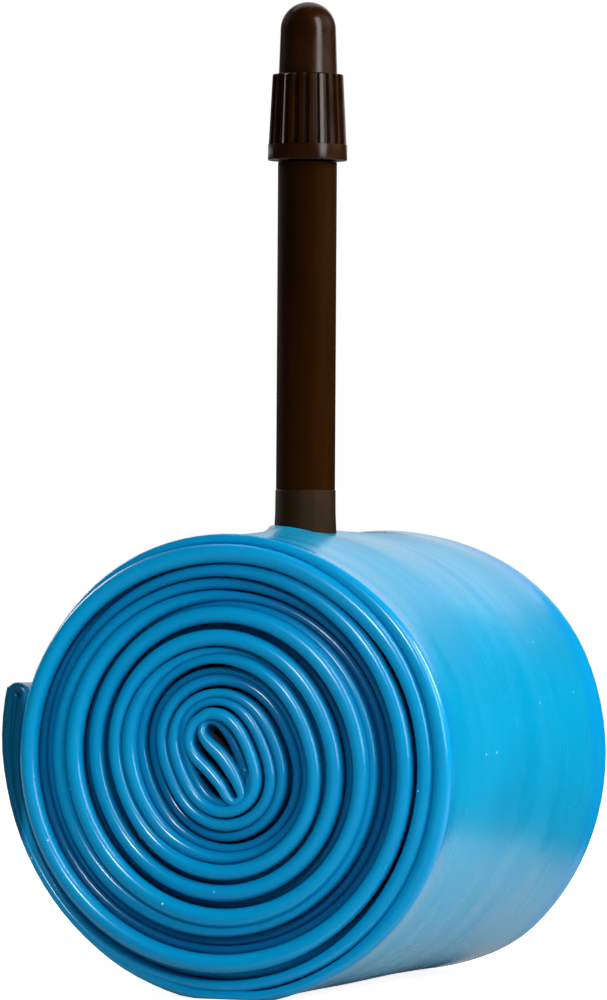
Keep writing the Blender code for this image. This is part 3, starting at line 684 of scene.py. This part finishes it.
# Valve stem
# A smooth hollow tube moulded in black nylon, with a plug below its shoulder that sits in the sleeve and a
# softly rounded top edge under the cap.
STEM_SIDES = 96
STEM_EDGE = 0.10 * MM
FIT_GAP = 0.13 * MM
SHOULDER_OVERLAP = 0.02 * MM
tip_low, tip_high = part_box("stem_tip")
stem_top = stem_high[2]
stem_shoulder = sleeve_top - SHOULDER_OVERLAP
plug_radius = sleeve_bore - FIT_GAP
stem_bore = tip_low[2] - FIT_GAP
shank_bore = 2.38 * MM
air_bore = 1.50 * MM
stem_profile = filleted([
    (air_bore, stem_low[2]), (air_bore, stem_bore), (shank_bore, stem_bore), (shank_bore, stem_top),
    (stem_radius, stem_top), (stem_radius, stem_shoulder), (plug_radius, stem_shoulder),
    (plug_radius, stem_low[2]), (air_bore, stem_low[2]),
], STEM_EDGE)
stem_tube = skin("stem_tube", turned_rings(stem_profile, STEM_SIDES), False)

# Moulded nylon: brown black with a dull, warm sheen, faint flow marks up the stem and a fine grain.
stem_nylon, tree, shader = new_material("nylon, moulded")
place = add_node(tree, "ShaderNodeTexCoord", {}).outputs["Object"]
FLOW_WIDTH = 1 / 700
FLOW_RUN = 1 / 90
STEM_GRAIN = 0.3 * MM
STEM_GRAIN_DEPTH = 0.02 * MM
flow = add_node(
    tree, "ShaderNodeMapping", {"Vector": place, "Scale": (1 / FLOW_WIDTH, 1 / FLOW_WIDTH, 1 / FLOW_RUN)},
)
marks = add_node(tree, "ShaderNodeTexNoise", {"Vector": flow.outputs[0], "Scale": 1.0, "Detail": 4.0})
tone = add_node(tree, "ShaderNodeValToRGB", {"Fac": marks.outputs["Fac"]})
tone.color_ramp.elements[0].position = 0.35
tone.color_ramp.elements[0].color = linear("241001")
tone.color_ramp.elements[1].position = 0.75
tone.color_ramp.elements[1].color = linear("2B1402")
gloss = add_node(
    tree, "ShaderNodeMapRange",
    {"Value": marks.outputs["Fac"], "From Min": 0.3, "From Max": 0.7, "To Min": 0.38, "To Max": 0.52},
)
fine = add_node(tree, "ShaderNodeTexNoise", {"Vector": place, "Scale": 1 / STEM_GRAIN, "Detail": 2.0})
bump = add_node(
    tree, "ShaderNodeBump", {"Height": fine.outputs["Fac"], "Strength": 0.15, "Distance": STEM_GRAIN_DEPTH},
)
tree.links.new(tone.outputs["Color"], shader.inputs["Base Color"])
tree.links.new(gloss.outputs["Result"], shader.inputs["Roughness"])
tree.links.new(bump.outputs["Normal"], shader.inputs["Normal"])
shader.inputs["Specular IOR Level"].default_value = 0.05
shader.inputs["Specular Tint"].default_value = linear("C08850")
stem_tube.data.materials.append(stem_nylon)
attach(stem_tube, "tube")
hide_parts("valve_stem")

# Threaded tip
# A brass insert, turned, threaded and nickel plated, pressed into the top of the stem. The cap screws on
# its outside and the valve core into its bore.
TIP_SIDES = 72
TIP_PITCH = 1.06 * MM
TIP_THREAD_DEPTH = 0.22 * MM
TIP_CHAMFER = 0.35 * MM
ROWS_PER_PITCH = 10
core_low, core_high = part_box("core_body")
pin_low, pin_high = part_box("core_pin")
seal_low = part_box("core_seal")[0]
gasket_low, gasket_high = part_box("core_gasket")
nut_low, nut_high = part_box("core_nut")
tip_radius = tip_high[0]
tip_flange = stem_top + FIT_GAP
tip_top = tip_high[2]
thread_bore = gasket_high[0] + FIT_GAP
nose_bore = 1.48 * MM
shank_radius = shank_bore - FIT_GAP


def threaded_rings(radius, depth, pitch, foot, top, sides, chamfer):
    """Rings of a screw thread from its top down: a round helical groove that runs out at both chamfers."""
    around = np.linspace(0.0, 2 * math.pi, sides, endpoint=False)
    rows = int((top - foot) / pitch * ROWS_PER_PITCH)
    rings = []
    for row in range(rows + 1):
        height = top - (top - foot) * row / rows
        phase = height / pitch - around / (2 * math.pi)
        groove = 0.5 - 0.5 * np.cos(2 * math.pi * phase)
        taper = max(0.0, chamfer - (top - height), chamfer - (height - foot))
        reach = np.minimum(radius - depth * groove, radius - taper)
        level = np.full(sides, height)
        rings.append(np.stack([reach * np.cos(around), reach * np.sin(around), level], axis=1))
    return rings


tip_rings = turned_rings([(thread_bore, tip_top)], TIP_SIDES)
tip_rings += threaded_rings(
    tip_radius, TIP_THREAD_DEPTH, TIP_PITCH, tip_flange, tip_top, TIP_SIDES, TIP_CHAMFER,
)
gasket_seat = gasket_low[2] - FIT_GAP
tip_rings += turned_rings([
    (shank_radius, tip_flange), (shank_radius, tip_low[2]), (nose_bore, tip_low[2]),
    (nose_bore, gasket_seat), (thread_bore, gasket_seat),
], TIP_SIDES)
threaded_tip = skin("threaded_tip", tip_rings, True)
threaded_tip.data.set_sharp_from_angle(angle=math.radians(50))

# Nickel plate on turned brass: a warm silver, with the lathe's fine rings showing through.
nickel, tree, shader = new_material("nickel plate on turned brass")
place = add_node(tree, "ShaderNodeTexCoord", {}).outputs["Object"]
LATHE_SPACING = 0.06 * MM
LATHE_RUN = 25 * MM
LATHE_SCALE = (1 / LATHE_RUN, 1 / LATHE_RUN, 1 / LATHE_SPACING)
lathe = add_node(tree, "ShaderNodeMapping", {"Vector": place, "Scale": LATHE_SCALE})
turning = add_node(tree, "ShaderNodeTexNoise", {"Vector": lathe.outputs[0], "Scale": 1.0, "Detail": 2.0})
tone = add_node(tree, "ShaderNodeValToRGB", {"Fac": turning.outputs["Fac"]})
tone.color_ramp.elements[0].color = linear("A9A49A")
tone.color_ramp.elements[1].color = linear("CFCBC2")
gloss = add_node(
    tree, "ShaderNodeMapRange",
    {"Value": turning.outputs["Fac"], "From Min": 0.3, "From Max": 0.7, "To Min": 0.20, "To Max": 0.34},
)
tree.links.new(tone.outputs["Color"], shader.inputs["Base Color"])
tree.links.new(gloss.outputs["Result"], shader.inputs["Roughness"])
shader.inputs["Metallic"].default_value = 1.0
threaded_tip.data.materials.append(nickel)
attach(threaded_tip, "tube")
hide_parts("stem_tip")

# Valve core
# A brass barrel screwed into the tip, with two spanner flats on its head, a soft ring that seals it, and a
# thin nose below.
BARREL_SIDES = 72
BARREL_BORE = 0.85 * MM
BARREL_RADIUS = 1.95 * MM
BARREL_NOSE = 1.35 * MM
BARREL_EDGE = 0.12 * MM
HEAD_TOP_RADIUS = 1.5 * MM
HEAD_SLOPE = 0.6 * MM
HEAD_FLAT = core_high[0] - 0.15 * MM
HAIR = 0.01 * MM
core_head = tip_top + FIT_GAP
nose_top = gasket_high[2] + FIT_GAP
core_profile = filleted([
    (BARREL_BORE, core_low[2]), (BARREL_BORE, core_high[2]), (HEAD_TOP_RADIUS, core_high[2]),
    (core_high[1], core_high[2] - HEAD_SLOPE), (core_high[1], core_head), (BARREL_RADIUS, core_head),
    (BARREL_RADIUS, nose_top), (BARREL_NOSE, nose_top), (BARREL_NOSE, core_low[2]),
    (BARREL_BORE, core_low[2]),
], BARREL_EDGE)
core_rings = turned_rings(core_profile, BARREL_SIDES)
for ring in core_rings:
    if ring[0][2] > core_head - HAIR:
        ring[:, 0] = np.clip(ring[:, 0], -HEAD_FLAT, HEAD_FLAT)
core_barrel = skin("core_barrel", core_rings, False)
core_barrel.data.set_sharp_from_angle(angle=math.radians(40))

# Turned brass: bright yellow with lathe rings and a slight brown tarnish in patches.
brass, tree, shader = new_material("brass, turned")
place = add_node(tree, "ShaderNodeTexCoord", {}).outputs["Object"]
TARNISH_SIZE = 1.5 * MM
lathe = add_node(tree, "ShaderNodeMapping", {"Vector": place, "Scale": LATHE_SCALE})
turning = add_node(tree, "ShaderNodeTexNoise", {"Vector": lathe.outputs[0], "Scale": 1.0, "Detail": 2.0})
tarnish = add_node(tree, "ShaderNodeTexNoise", {"Vector": place, "Scale": 1 / TARNISH_SIZE, "Detail": 3.0})
tone = add_node(tree, "ShaderNodeValToRGB", {"Fac": tarnish.outputs["Fac"]})
tone.color_ramp.elements[0].position = 0.35
tone.color_ramp.elements[0].color = linear("A9813C")
tone.color_ramp.elements[1].position = 0.60
tone.color_ramp.elements[1].color = linear("CDA85C")
gloss = add_node(
    tree, "ShaderNodeMapRange",
    {"Value": turning.outputs["Fac"], "From Min": 0.3, "From Max": 0.7, "To Min": 0.22, "To Max": 0.36},
)
tree.links.new(tone.outputs["Color"], shader.inputs["Base Color"])
tree.links.new(gloss.outputs["Result"], shader.inputs["Roughness"])
shader.inputs["Metallic"].default_value = 1.0
core_barrel.data.materials.append(brass)
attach(core_barrel, "tube")
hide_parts("core_body")

# Seal rubber: dull black, with a fine moulded grain, on the core's ring and on the pin's sleeve.
seal_rubber, tree, shader = new_material("nitrile rubber, moulded")
place = add_node(tree, "ShaderNodeTexCoord", {}).outputs["Object"]
RUBBER_GRAIN = 0.15 * MM
grain = add_node(tree, "ShaderNodeTexNoise", {"Vector": place, "Scale": 1 / RUBBER_GRAIN, "Detail": 2.0})
tone = add_node(tree, "ShaderNodeValToRGB", {"Fac": grain.outputs["Fac"]})
tone.color_ramp.elements[0].color = linear("101010")
tone.color_ramp.elements[1].color = linear("1C1B1A")
tree.links.new(tone.outputs["Color"], shader.inputs["Base Color"])
shader.inputs["Roughness"].default_value = 0.7
for node in ("core_gasket", "core_seal"):
    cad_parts[node].data.materials.clear()
    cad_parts[node].data.materials.append(seal_rubber)

# Valve pin
# A thin brass rod through the core, with a screw thread for the lock nut and a button at its foot that
# carries the seal.
PIN_SIDES = 48
PIN_PITCH = 0.40 * MM
PIN_THREAD_DEPTH = 0.10 * MM
PIN_CHAMFER = 0.22 * MM
PIN_RUN_OUT = 0.1 * MM
PIN_THREAD_BELOW_NUT = 1.0 * MM
pin_radius = 0.75 * MM
pin_shoulder = seal_low[2] - FIT_GAP
thread_foot = nut_low[2] - PIN_THREAD_BELOW_NUT
pin_rings = turned_rings([(0.0, pin_high[2])], PIN_SIDES)
pin_rings += threaded_rings(
    pin_radius, PIN_THREAD_DEPTH, PIN_PITCH, thread_foot, pin_high[2], PIN_SIDES, PIN_CHAMFER,
)
pin_rings += turned_rings([
    (pin_radius, thread_foot - PIN_RUN_OUT), (pin_radius, pin_shoulder), (pin_high[0], pin_shoulder),
    (pin_high[0], pin_low[2]), (0.0, pin_low[2]),
], PIN_SIDES)
threaded_pin = skin("threaded_pin", pin_rings, False)
threaded_pin.data.set_sharp_from_angle(angle=math.radians(50))
threaded_pin.data.materials.append(brass)
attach(threaded_pin, "pin")
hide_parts("core_pin")

# Lock nut
# A small brass nut with a knurled grip, which runs on the pin's thread and pulls the seal up against the
# core's lower end.
NUT_RIDGES = 20
NUT_SIDES = NUT_RIDGES * 6
NUT_KNURL = 0.14 * MM
NUT_EDGE = 0.35 * MM
nut_radius = nut_high[0]
nut_bore = 0.85 * MM
nut_profile = filleted([
    (nut_bore, nut_low[2]), (nut_bore, nut_high[2]), (nut_radius, nut_high[2]), (nut_radius, nut_low[2]),
    (nut_bore, nut_low[2]),
], NUT_EDGE)
nut_rings = turned_rings(nut_profile, NUT_SIDES)
ridge = 0.5 - 0.5 * np.cos(np.linspace(0.0, 2 * math.pi, NUT_SIDES, endpoint=False) * NUT_RIDGES)
for (radius, height), ring in zip(nut_profile, nut_rings):
    outer_share = max(0.0, (radius - nut_bore) / (nut_radius - nut_bore))
    inset = 1 - NUT_KNURL * ridge / nut_radius * outer_share**4
    ring[:, 0] *= inset
    ring[:, 1] *= inset
knurled_nut = skin("knurled_nut", nut_rings, False)
knurled_nut.data.materials.append(brass)
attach(knurled_nut, "nut")
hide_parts("core_nut")

# Dust cap
# One moulded piece in black plastic: a domed crown that tapers slightly, a flared skirt with grip ribs that
# end in a step under the crown, and a plain band at the foot. Its bore goes over the tip's thread.
CAP_RIBS = 22
SIDES_PER_RIB = 12
CAP_SIDES = CAP_RIBS * SIDES_PER_RIB
CAP_DOME_RADIUS = 2.80 * MM
CAP_CROWN_FOOT = 2.95 * MM
CAP_SKIRT_TOP = 3.56 * MM
CAP_SKIRT_FOOT = 3.92 * MM
CAP_BAND_HEIGHT = 1.6 * MM
CAP_SKIRT_HEIGHT = 8.7 * MM
CAP_GROOVE = 0.34 * MM
CAP_BORE = tip_radius + FIT_GAP
CAP_CROWN_BORE = 2.30 * MM
CAP_CEILING_RADIUS = 1.1 * MM
CAP_CEILING_SLOPE = 1.5 * MM
CAP_HEADROOM = 0.25 * MM
CAP_EDGE = 0.16 * MM
CAP_INSIDE_EDGE = 0.3 * MM
CAP_STEP_PLAIN = 0.2 * MM
DOME_STEPS = 12
RIB_ROWS = 10
cap_low, cap_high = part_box("dust_cap")
cap_foot = cap_low[2]
cap_top = cap_high[2]
band_radius = cap_high[0]
band_top = cap_foot + CAP_BAND_HEIGHT
skirt_top = cap_foot + CAP_SKIRT_HEIGHT
dome_middle = cap_top - CAP_DOME_RADIUS
ceiling = pin_high[2] + CAP_HEADROOM

cap_outside = []
for step in range(DOME_STEPS + 1):
    angle = math.pi / 2 * (1 - step / DOME_STEPS)
    height = dome_middle + CAP_DOME_RADIUS * math.sin(angle)
    cap_outside.append((CAP_DOME_RADIUS * math.cos(angle), height))
cap_outside[0] = (0.0, cap_top)
crown_side = [(CAP_CROWN_FOOT, skirt_top), (CAP_SKIRT_TOP, skirt_top)]
for row in range(1, RIB_ROWS + 1):
    share = row / RIB_ROWS
    radius = CAP_SKIRT_TOP + (CAP_SKIRT_FOOT - CAP_SKIRT_TOP) * share
    crown_side.append((radius, skirt_top + (band_top - skirt_top) * share))
crown_side += [(band_radius, band_top), (band_radius, cap_foot), (CAP_BORE, cap_foot)]
cap_outside += filleted([cap_outside[-1]] + crown_side, CAP_EDGE)[1:]
bore_top = tip_top + FIT_GAP
cap_inside = filleted([
    (CAP_BORE, cap_foot), (CAP_BORE, bore_top), (CAP_CROWN_BORE, bore_top),
    (CAP_CROWN_BORE, ceiling - CAP_CEILING_SLOPE), (CAP_CEILING_RADIUS, ceiling), (0.0, ceiling),
], CAP_INSIDE_EDGE)[1:]
cap_profile = cap_outside + cap_inside
cap_rings = turned_rings(cap_profile, CAP_SIDES)
around = np.linspace(0.0, 2 * math.pi, CAP_SIDES, endpoint=False)
groove = np.clip(0.5 - 1.5 * np.cos(around * CAP_RIBS), 0.0, 1.0)
for (radius, height), ring in zip(cap_outside, cap_rings):
    on_skirt = CAP_CROWN_FOOT + CAP_STEP_PLAIN < radius < CAP_SKIRT_FOOT + HAIR
    if band_top - HAIR < height and on_skirt:
        cut = 1 - CAP_GROOVE * groove / radius
        ring[:, 0] *= cut
        ring[:, 1] *= cut
ribbed_cap = skin("ribbed_cap", cap_rings, False)
ribbed_cap.data.set_sharp_from_angle(angle=math.radians(55))

# Moulded polypropylene: brown black with a soft gloss that gives the crown one long streak, and a waxy skin.
cap_plastic, tree, shader = new_material("polypropylene, moulded")
place = add_node(tree, "ShaderNodeTexCoord", {}).outputs["Object"]
WAX_SIZE = 2.5 * MM
CAP_GRAIN = 0.2 * MM
CAP_GRAIN_DEPTH = 0.02 * MM
wax = add_node(tree, "ShaderNodeTexNoise", {"Vector": place, "Scale": 1 / WAX_SIZE, "Detail": 4.0})
fine = add_node(tree, "ShaderNodeTexNoise", {"Vector": place, "Scale": 1 / CAP_GRAIN, "Detail": 2.0})
tone = add_node(tree, "ShaderNodeValToRGB", {"Fac": wax.outputs["Fac"]})
tone.color_ramp.elements[0].position = 0.35
tone.color_ramp.elements[0].color = linear("2A1302")
tone.color_ramp.elements[1].position = 0.75
tone.color_ramp.elements[1].color = linear("341A04")
gloss = add_node(
    tree, "ShaderNodeMapRange",
    {"Value": wax.outputs["Fac"], "From Min": 0.3, "From Max": 0.7, "To Min": 0.19, "To Max": 0.28},
)
bump = add_node(
    tree, "ShaderNodeBump", {"Height": fine.outputs["Fac"], "Strength": 0.12, "Distance": CAP_GRAIN_DEPTH},
)
tree.links.new(tone.outputs["Color"], shader.inputs["Base Color"])
tree.links.new(gloss.outputs["Result"], shader.inputs["Roughness"])
tree.links.new(bump.outputs["Normal"], shader.inputs["Normal"])
shader.inputs["Specular IOR Level"].default_value = 0.36
ribbed_cap.data.materials.append(cap_plastic)
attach(ribbed_cap, "cap")
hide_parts("dust_cap")

# Floor, light and camera
# The roll stands on a white paper sweep under soft boxes. The camera is level, a little above the roll, and
# turned 19 degrees to the right of the roll's axis.
FLOOR_HALF = 3.0
FLOOR_LEVEL = -0.02 * MM
floor_mesh = bpy.data.meshes.new("paper_floor")
floor_mesh.from_pydata(
    [(-FLOOR_HALF, -FLOOR_HALF, 0.0), (FLOOR_HALF, -FLOOR_HALF, 0.0), (FLOOR_HALF, FLOOR_HALF, 0.0),
     (-FLOOR_HALF, FLOOR_HALF, 0.0)], [], [(0, 1, 2, 3)],
)
paper_floor = bpy.data.objects.new("paper_floor", floor_mesh)
bpy.context.scene.collection.objects.link(paper_floor)
paper_floor.location.z = FLOOR_LEVEL
paper, tree, shader = new_material("matte white paper")
shader.inputs["Base Color"].default_value = linear("CEC8C1")
shader.inputs["Roughness"].default_value = 0.9


def shown_directly(tree, plain, gloss):
    """Strength at which the white surroundings show: plainly and through glass, and off gloss."""
    path = add_node(tree, "ShaderNodeLightPath", {})
    seen = add_node(
        tree, "ShaderNodeMath",
        {0: path.outputs["Is Camera Ray"], 1: path.outputs["Is Transmission Ray"]}, operation="MAXIMUM",
    )
    first = add_node(tree, "ShaderNodeMath", {0: seen.outputs[0], 1: plain}, operation="MULTIPLY")
    second = add_node(
        tree, "ShaderNodeMath", {0: path.outputs["Is Glossy Ray"], 1: gloss}, operation="MULTIPLY",
    )
    return add_node(
        tree, "ShaderNodeMath", {0: first.outputs[0], 1: second.outputs[0]}, operation="MAXIMUM",
    ).outputs[0]


FLOOR_GLOW = 0.90
FLOOR_GLOSS = 0.03
white = add_node(
    tree, "ShaderNodeEmission",
    {"Color": linear("FFFFFF"), "Strength": shown_directly(tree, FLOOR_GLOW, FLOOR_GLOSS)},
)
both = add_node(tree, "ShaderNodeAddShader", {0: shader.outputs[0], 1: white.outputs[0]})
tree.links.new(both.outputs[0], tree.nodes["Material Output"].inputs["Surface"])
floor_mesh.materials.append(paper)

# Black cloth, seen only in gloss, keeps white off the blue film and the black valve. It hangs round the front
# and the right, stays low at the back left, and lies on the floor in front of the roll and behind it. Two
# small flags keep the back and left boxes off the cap. The front flag casts a shadow too, to keep the front
# box off the valve.
CLOTH_SHEETS = [
    [(-1.2, 0.3, 0.0), (-1.2, -1.0, 0.0), (-1.2, -1.0, 1.6), (-1.2, 0.3, 1.6)],
    [(-1.2, -1.0, 0.0), (1.2, -1.0, 0.0), (1.2, -1.0, 1.6), (-1.2, -1.0, 1.6)],
    [(1.2, -1.0, 0.0), (1.2, 0.3, 0.0), (1.2, 0.3, 1.6), (1.2, -1.0, 1.6)],
    [(1.2, 0.3, 0.0), (0.09, 0.54, 0.0), (0.09, 0.54, 1.6), (1.2, 0.3, 1.6)],
    [(0.09, 0.54, 0.0), (-1.2, 0.3, 0.0), (-1.2, 0.3, 0.105), (0.09, 0.54, 0.105)],
    [(-1.2, 0.3, 1.6), (-1.2, -1.0, 1.6), (1.2, -1.0, 1.6), (1.2, 0.3, 1.6), (0.09, 0.54, 1.6)],
    [(-1.2, -1.0, 0.0005), (1.2, -1.0, 0.0005), (1.2, -0.03, 0.0005), (-1.2, -0.03, 0.0005)],
    [(0.078, 0.000, 0.090), (0.058, 0.052, 0.090), (0.044, 0.048, 0.160), (0.064, -0.004, 0.160)],
    [(-0.078, 0.000, 0.090), (-0.052, 0.060, 0.090), (-0.044, 0.056, 0.160), (-0.070, -0.004, 0.160)],
    [(0.0, 0.055, 0.0005), (0.9, 0.055, 0.0005), (0.9, 0.40, 0.0005), (0.09, 0.53, 0.0005)],
]
FRONT_FLAG = [
    [(0.00, -0.080, 0.098), (0.05, -0.076, 0.098), (0.05, -0.099, 0.165), (0.00, -0.103, 0.165)],
]
cloth, tree, shader = new_material("black cloth")
shader.inputs["Base Color"].default_value = linear("0A0A0A")
shader.inputs["Specular IOR Level"].default_value = 0.0
for name, sheets, shadow in (("black_cloth", CLOTH_SHEETS, False), ("front_flag", FRONT_FLAG, True)):
    cloth_points = [point for sheet in sheets for point in sheet]
    cloth_faces = []
    for sheet in sheets:
        first = sum(len(face) for face in cloth_faces)
        cloth_faces.append(tuple(range(first, first + len(sheet))))
    cloth_mesh = bpy.data.meshes.new(name)
    cloth_mesh.from_pydata(cloth_points, [], cloth_faces)
    cloth_mesh.materials.append(cloth)
    hanging = bpy.data.objects.new(name, cloth_mesh)
    bpy.context.scene.collection.objects.link(hanging)
    hanging.visible_camera = False
    hanging.visible_diffuse = False
    hanging.visible_shadow = shadow
    hanging.visible_transmission = False

SOFT_BOXES = [
    ("front box", (0.13, -0.48, 0.29), (0.09, 0.09), 1.2),
    ("side box", (0.41, -0.19, 0.26), (0.16, 0.44), 1.55),
    ("back box", (0.42, 0.16, 0.30), (0.20, 0.20), 2.0),
    ("left box", (-0.40, 0.22, 0.30), (0.25, 0.25), 0.8),
]
AIM_POINT = np.array([0.0, 0.0, 0.03])
for name, spot, size, power in SOFT_BOXES:
    lamp = bpy.data.lights.new(name, "AREA")
    lamp.shape = "RECTANGLE"
    lamp.size, lamp.size_y = size
    lamp.energy = power
    box = bpy.data.objects.new(name, lamp)
    bpy.context.scene.collection.objects.link(box)
    box.location = spot
    aim = AIM_POINT - np.array(spot)
    pitch = math.atan2(math.hypot(aim[0], aim[1]), -aim[2])
    box.rotation_euler = (pitch, 0.0, math.atan2(-aim[0], aim[1]))

world = bpy.data.worlds.new("white room")
bpy.context.scene.world = world
world.use_nodes = True
tree = world.node_tree
WORLD_LIGHT = 0.07
WORLD_GLOW = 1.0
WORLD_GLOSS = 0.9
level = add_node(
    tree, "ShaderNodeMath",
    {0: shown_directly(tree, WORLD_GLOW, WORLD_GLOSS), 1: WORLD_LIGHT}, operation="MAXIMUM",
)
tree.links.new(level.outputs[0], tree.nodes["Background"].inputs["Strength"])
tree.nodes["Background"].inputs["Color"].default_value = linear("FFFFFF")

CAMERA_TURN = 19.0
CAMERA_DISTANCE = 0.68
CAMERA_ROLL = 0.35
EYE_HEIGHT = 0.0498
FOCAL_PIXELS = 6746.0
IMAGE_HEIGHT = 1000.0
SENSOR = 36.0
SHIFT_RIGHT = -0.002
SHIFT_UP = -0.010
camera_data = bpy.data.cameras.new("camera")
camera_data.sensor_width = SENSOR
camera_data.lens = FOCAL_PIXELS / IMAGE_HEIGHT * SENSOR
camera_data.shift_x = SHIFT_RIGHT
camera_data.shift_y = SHIFT_UP
camera = bpy.data.objects.new("camera", camera_data)
bpy.context.scene.collection.objects.link(camera)
turn = math.radians(CAMERA_TURN)
camera.location = (CAMERA_DISTANCE * math.sin(turn), -CAMERA_DISTANCE * math.cos(turn), EYE_HEIGHT)
camera.rotation_euler = (math.radians(90.0), math.radians(-CAMERA_ROLL), turn)
bpy.context.scene.camera = camera
bpy.context.scene.view_settings.view_transform = "Standard"
